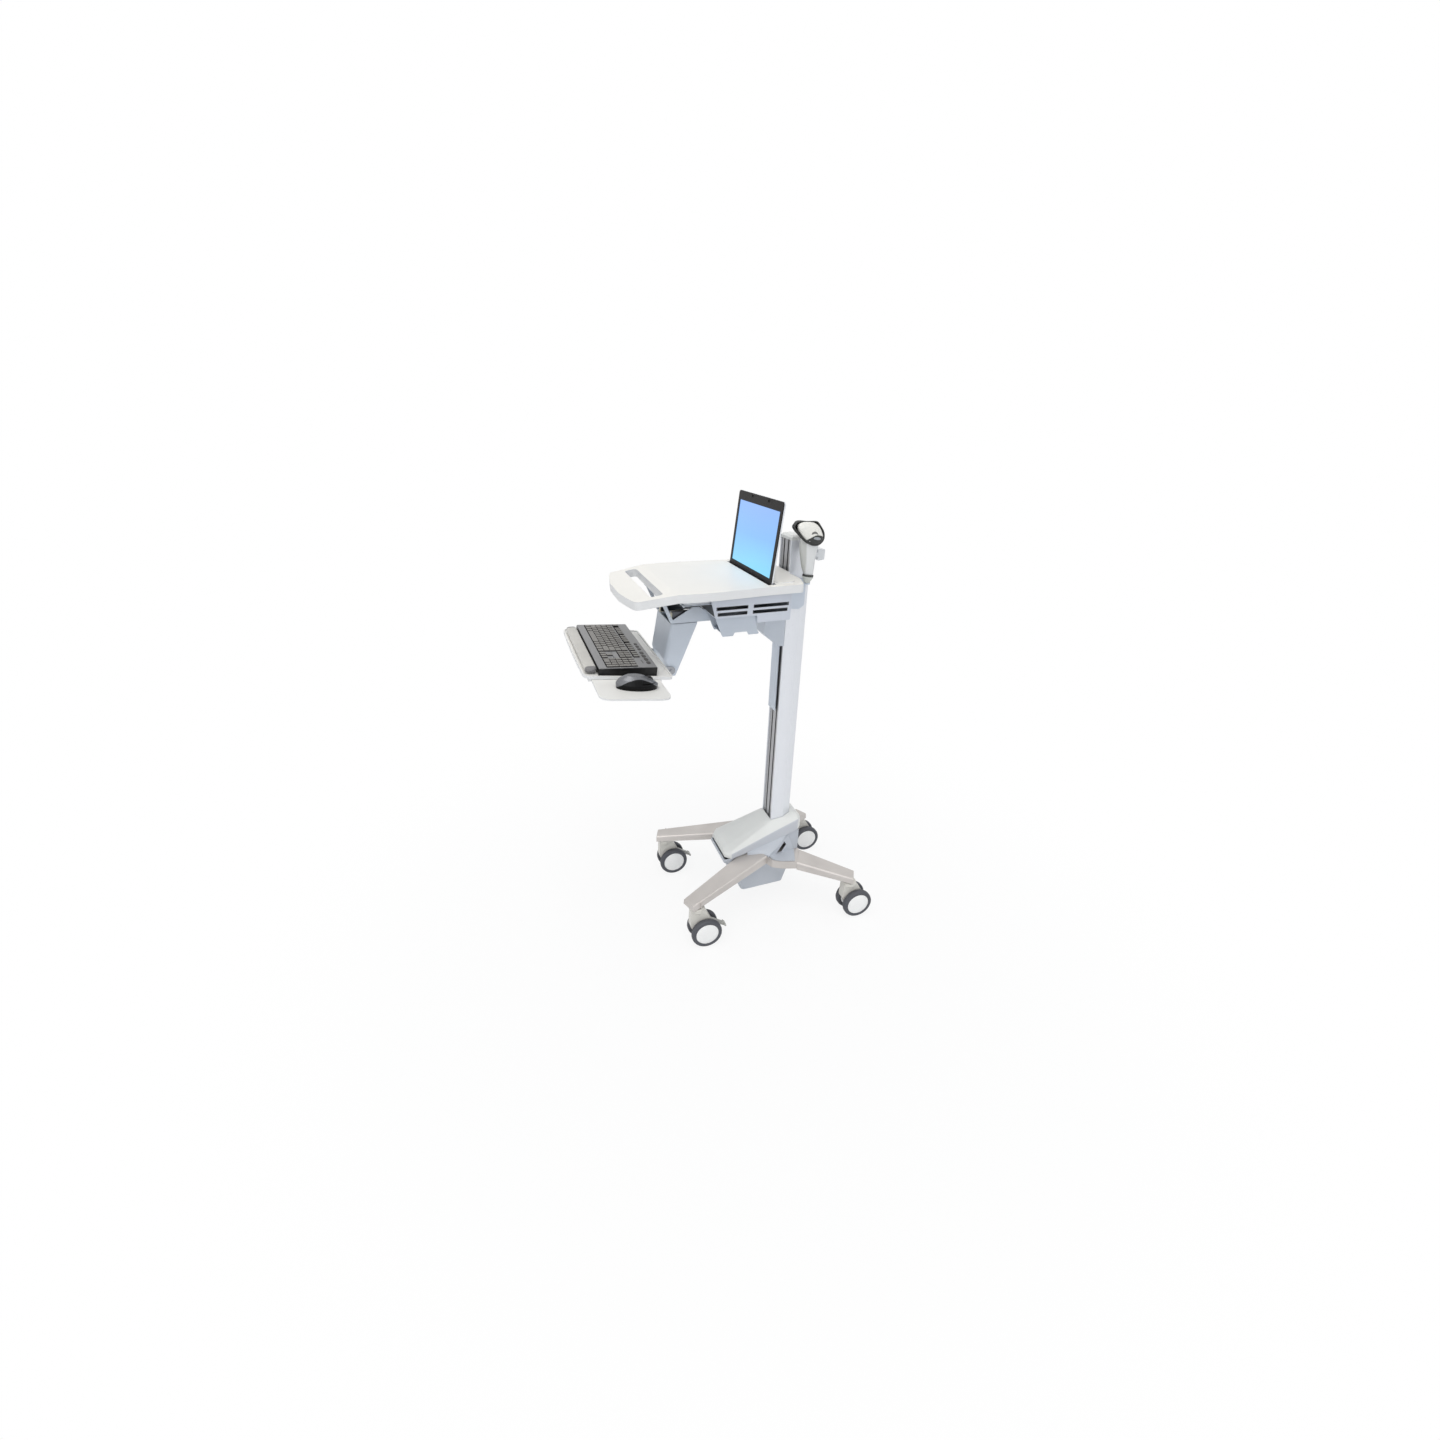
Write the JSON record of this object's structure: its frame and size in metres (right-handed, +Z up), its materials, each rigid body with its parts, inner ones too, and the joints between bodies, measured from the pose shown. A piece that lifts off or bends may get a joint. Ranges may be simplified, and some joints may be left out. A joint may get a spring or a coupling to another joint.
{
  "type": "medical computer cart",
  "caption": "Point-of-care cart with a lifting laptop worksurface, tilting keyboard and mouse trays, hand scanner in a holder, and a four-legged base on twin-wheel swivel casters.",
  "frame": {"origin": "centre of the bounding box on the floor", "axes": "+Z up, +Y towards the back of the cart, +X to the user's right, where the mouse tray is; the user stands on the -Y side"},
  "size_m": [0.598, 1.0083, 1.4729],
  "materials": {
    "base_metal": "satin",
    "fasteners": "bright",
    "base_plastic": "satin",
    "cover_plastic": "satin",
    "column_aluminium": "anodised",
    "spring_steel": "plain",
    "caster_plastic": "smooth",
    "tyre_rubber": "smooth",
    "head_metal": "satin",
    "glide_plastic": "plain",
    "worksurface_plastic": "fine grain",
    "vent_plastic": "satin",
    "tray_plastic": "fine grain",
    "palm_pad": "soft",
    "keyboard_plastic": "fine grain",
    "mouse_plastic": "satin",
    "laptop_plastic": "satin",
    "bezel_plastic": "satin",
    "screen_glass": "lit",
    "scanner_plastic": "smooth",
    "scanner_rubber": "matt"
  },
  "bodies": {
    "base": {"base_hub": "base_metal", "front_right_leg": "base_metal", "front_left_leg": "base_metal", "rear_right_leg": "base_metal", "rear_left_leg": "base_metal", "base_housing": "base_plastic", "weight_pan": "base_plastic", "base_cover": "cover_plastic", "column": "column_aluminium", "column_cap": "cover_plastic", "cord_hook": "caster_plastic", "lift_cassette": "spring_steel", "leg_bolts": "fasteners"},
    "head": {"carriage": "head_metal", "carriage_cover": "head_metal", "glide_blocks": "glide_plastic", "worksurface": "worksurface_plastic", "enclosure": "head_metal", "right_vent_panel": "vent_plastic", "left_vent_panel": "vent_plastic", "accessory_bracket": "head_metal", "slide_frame": "head_metal", "outer_rails": "spring_steel", "laptop_base": "laptop_plastic", "scanner_holder": "scanner_plastic", "holder_bracket": "head_metal"},
    "keyboard_arm": {"slide_shoes": "glide_plastic", "keyboard_arm": "head_metal", "tilt_pin": "fasteners"},
    "keyboard_tray": {"keyboard_tray": "tray_plastic", "tray_bracket": "fasteners", "palm_rest": "palm_pad", "keyboard_case": "keyboard_plastic"},
    "keycaps": {"keycaps": "keyboard_plastic"},
    "space_bar": {"space_bar": "keyboard_plastic"},
    "mouse_tray": {"mouse_tray": "tray_plastic", "mouse_body": "mouse_plastic"},
    "mouse_left_button": {"mouse_left_button": "mouse_plastic"},
    "mouse_right_button": {"mouse_right_button": "mouse_plastic"},
    "mouse_wheel": {"mouse_wheel": "mouse_plastic"},
    "laptop_lid": {"lid_shell": "laptop_plastic", "lid_bezel": "bezel_plastic", "screen": "screen_glass"},
    "scanner": {"scanner_body": "scanner_plastic", "scanner_bumper": "scanner_rubber"},
    "scanner_trigger": {"scanner_trigger": "scanner_rubber"},
    "front_right_caster": {"front_right_caster_fork": "caster_plastic"},
    "front_right_wheels": {"front_right_wheel_hubs": "caster_plastic", "front_right_tyres": "tyre_rubber"},
    "front_right_brake": {"front_right_brake_pedal": "caster_plastic"},
    "front_left_caster": {"front_left_caster_fork": "caster_plastic"},
    "front_left_wheels": {"front_left_wheel_hubs": "caster_plastic", "front_left_tyres": "tyre_rubber"},
    "front_left_brake": {"front_left_brake_pedal": "caster_plastic"},
    "rear_right_caster": {"rear_right_caster_fork": "caster_plastic"},
    "rear_right_wheels": {"rear_right_wheel_hubs": "caster_plastic", "rear_right_tyres": "tyre_rubber"},
    "rear_left_caster": {"rear_left_caster_fork": "caster_plastic"},
    "rear_left_wheels": {"rear_left_wheel_hubs": "caster_plastic", "rear_left_tyres": "tyre_rubber"}
  },
  "joints": [
    {"name": "head_height", "type": "slide", "parent": "base", "child": "head", "axis": [0, 0, 1], "range_m": [-0.41, 0.09]},
    {"name": "keyboard_slide", "type": "slide", "parent": "head", "child": "keyboard_arm", "axis": [0, 1, 0], "range_m": [0, 0.145]},
    {"name": "keyboard_tilt", "type": "hinge", "parent": "keyboard_arm", "child": "keyboard_tray", "pos_m": [-0.0605, -0.21284, 0.976], "axis": [1, 0, 0], "range_deg": [-9, 7]},
    {"name": "key_press", "type": "slide", "parent": "keyboard_tray", "child": "keycaps", "axis": [0, -0.0735, -0.9973], "range_m": [0, 0.0025], "stiffness_N_per_m": 3000},
    {"name": "space_bar_press", "type": "slide", "parent": "keyboard_tray", "child": "space_bar", "axis": [0, -0.0735, -0.9973], "range_m": [0, 0.0025], "stiffness_N_per_m": 600},
    {"name": "mouse_tray_slide", "type": "slide", "parent": "keyboard_tray", "child": "mouse_tray", "axis": [1, 0, 0], "range_m": [-0.018, 0.05]},
    {"name": "mouse_left_click", "type": "hinge", "parent": "mouse_tray", "child": "mouse_left_button", "pos_m": [0.2165, -0.35594, 1.03592], "axis": [-1, 0, 0], "range_deg": [0, 1.5], "stiffness_Nm_per_rad": 3},
    {"name": "mouse_right_click", "type": "hinge", "parent": "mouse_tray", "child": "mouse_right_button", "pos_m": [0.2165, -0.35594, 1.03592], "axis": [-1, 0, 0], "range_deg": [0, 1.5], "stiffness_Nm_per_rad": 3},
    {"name": "mouse_wheel_turn", "type": "hinge", "parent": "mouse_tray", "child": "mouse_wheel", "pos_m": [0.2165, -0.33176, 1.03614], "axis": [1, 0, 0], "continuous": true},
    {"name": "lid_hinge", "type": "hinge", "parent": "head", "child": "laptop_lid", "pos_m": [-0.0605, 0.06316, 1.228], "axis": [1, 0, 0], "range_deg": [-15, 30]},
    {"name": "scanner_lift_off", "type": "slide", "parent": "head", "child": "scanner", "axis": [0, 0.1132, 0.9936], "range_m": [0, 0.15]},
    {"name": "scanner_trigger_pull", "type": "hinge", "parent": "scanner", "child": "scanner_trigger", "pos_m": [0.0235, 0.22246, 1.33041], "axis": [0, -0.9936, 0.1132], "range_deg": [0, 4], "stiffness_Nm_per_rad": 2},
    {"name": "front_right_swivel", "type": "hinge", "parent": "base", "child": "front_right_caster", "pos_m": [0.1415, -0.15184, 0.15], "axis": [0, 0, 1], "continuous": true},
    {"name": "front_right_roll", "type": "hinge", "parent": "front_right_caster", "child": "front_right_wheels", "pos_m": [0.1415, -0.12384, 0.054], "axis": [-1, 0, 0], "continuous": true},
    {"name": "front_right_brake_press", "type": "hinge", "parent": "front_right_caster", "child": "front_right_brake", "pos_m": [0.1415, -0.10784, 0.084], "axis": [-1, 0, 0], "range_deg": [0, 10]},
    {"name": "front_left_swivel", "type": "hinge", "parent": "base", "child": "front_left_caster", "pos_m": [-0.2625, -0.15184, 0.15], "axis": [0, 0, 1], "continuous": true},
    {"name": "front_left_roll", "type": "hinge", "parent": "front_left_caster", "child": "front_left_wheels", "pos_m": [-0.2625, -0.12384, 0.054], "axis": [-1, 0, 0], "continuous": true},
    {"name": "front_left_brake_press", "type": "hinge", "parent": "front_left_caster", "child": "front_left_brake", "pos_m": [-0.2625, -0.10784, 0.084], "axis": [-1, 0, 0], "range_deg": [0, 10]},
    {"name": "rear_right_swivel", "type": "hinge", "parent": "base", "child": "rear_right_caster", "pos_m": [0.1415, 0.42216, 0.15], "axis": [0, 0, 1], "continuous": true},
    {"name": "rear_right_roll", "type": "hinge", "parent": "rear_right_caster", "child": "rear_right_wheels", "pos_m": [0.1415, 0.45016, 0.054], "axis": [-1, 0, 0], "continuous": true},
    {"name": "rear_left_swivel", "type": "hinge", "parent": "base", "child": "rear_left_caster", "pos_m": [-0.2625, 0.42216, 0.15], "axis": [0, 0, 1], "continuous": true},
    {"name": "rear_left_roll", "type": "hinge", "parent": "rear_left_caster", "child": "rear_left_wheels", "pos_m": [-0.2625, 0.45016, 0.054], "axis": [-1, 0, 0], "continuous": true}
  ]
}
